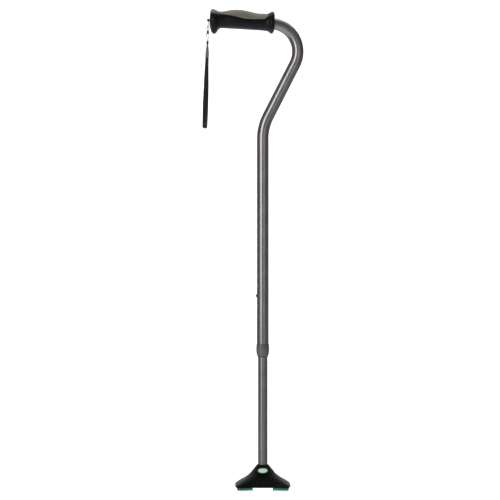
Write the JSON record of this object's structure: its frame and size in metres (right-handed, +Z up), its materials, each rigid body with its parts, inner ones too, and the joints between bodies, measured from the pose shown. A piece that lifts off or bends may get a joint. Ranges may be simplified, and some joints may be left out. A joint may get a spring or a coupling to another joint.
{
  "type": "quad walking cane",
  "caption": "Offset-handled walking cane with a telescoping shaft, snap-button height setting, wrist strap and a small flexing four-footed base.",
  "frame": {"origin": "on the shaft's axis, at the level of the four soles", "axes": "+Z up along the shaft, -X the way the grip points, -Y the side with the badge"},
  "size_m": [0.1932, 0.088, 0.9119],
  "materials": {
    "satin_tube": "satin, warm titanium grey",
    "grey_plastic": "satin moulded plastic",
    "grip_rubber": "fine matte grain",
    "gel_pad": "soft matte",
    "black_rubber": "moulded, satin",
    "green_tread": "matte",
    "pale_green_plastic": "glossy",
    "dark_green_plastic": "glossy",
    "black_nylon": "moulded",
    "plain_steel": "brushed",
    "plated_button": "polished",
    "dark_metal": "black painted",
    "black_cord": "twisted nylon",
    "pale_cord": "twisted nylon",
    "reflective_fabric": "glass-bead reflective",
    "black_webbing": "woven nylon"
  },
  "bodies": {
    "pod": {"pod_body": "black_rubber", "tread_pad_front_left": "green_tread", "tread_pad_front_right": "green_tread", "tread_pad_rear_left": "green_tread", "tread_pad_rear_right": "green_tread", "pod_core_plate": "plain_steel"},
    "lower_leg": {"lower_tube": "satin_tube", "pod_socket": "black_nylon", "tube_washer": "plain_steel", "slide_bushing": "black_nylon", "button_spring": "plain_steel", "badge_bezel": "dark_green_plastic", "badge": "pale_green_plastic"},
    "button": {"snap_button": "plated_button"},
    "upper": {"upper_tube": "satin_tube", "guide_bush": "black_nylon", "clamp_ring": "black_nylon", "tube_plug": "black_nylon", "grip_core": "black_nylon", "grip_body": "grip_rubber", "grip_gel_pad": "gel_pad", "grip_end_cap": "black_nylon", "strap_lug": "dark_metal"},
    "collar": {"locking_collar": "grey_plastic"},
    "strap_tie": {"tie_cord": "black_cord"},
    "strap_link": {"strap_ring": "dark_metal"},
    "strap": {"swivel_barrel": "dark_metal", "leader_cord": "pale_cord", "strap_ferrule": "dark_metal", "reflective_tab": "reflective_fabric", "strap_webbing": "black_webbing"}
  },
  "joints": [
    {"name": "base_flex", "type": "hinge", "parent": "pod", "child": "lower_leg", "pos_m": [0, 0, 0.018], "axis": [0, 1, 0], "range_deg": [-8, 8], "stiffness_Nm_per_rad": 60, "deforming": ["pod_body"]},
    {"name": "height_slide", "type": "slide", "parent": "lower_leg", "child": "upper", "axis": [0, 0, 1], "range_m": [-0.1905, 0.0381]},
    {"name": "button_press", "type": "slide", "parent": "lower_leg", "child": "button", "axis": [1, 0, 0], "range_m": [0, 0.004], "stiffness_N_per_m": 2000, "springref_m": -0.002, "deforming": ["button_spring"]},
    {"name": "collar_turn", "type": "hinge", "parent": "upper", "child": "collar", "pos_m": [0, 0, 0.2645], "axis": [0, 0, 1], "range_deg": [-270, 0]},
    {"name": "strap_swing", "type": "hinge", "parent": "upper", "child": "strap_tie", "pos_m": [-0.10357, 0, 0.89066], "axis": [0, 1, 0], "range_deg": [0, 110]},
    {"name": "strap_sway", "type": "hinge", "parent": "strap_tie", "child": "strap_link", "pos_m": [-0.10398, 0, 0.87746], "axis": [0.9995, 0, -0.0314], "range_deg": [-70, 70]},
    {"name": "strap_swivel", "type": "hinge", "parent": "strap_link", "child": "strap", "pos_m": [-0.10425, 0, 0.86917], "axis": [0.0314, 0, 0.9995], "continuous": true}
  ]
}
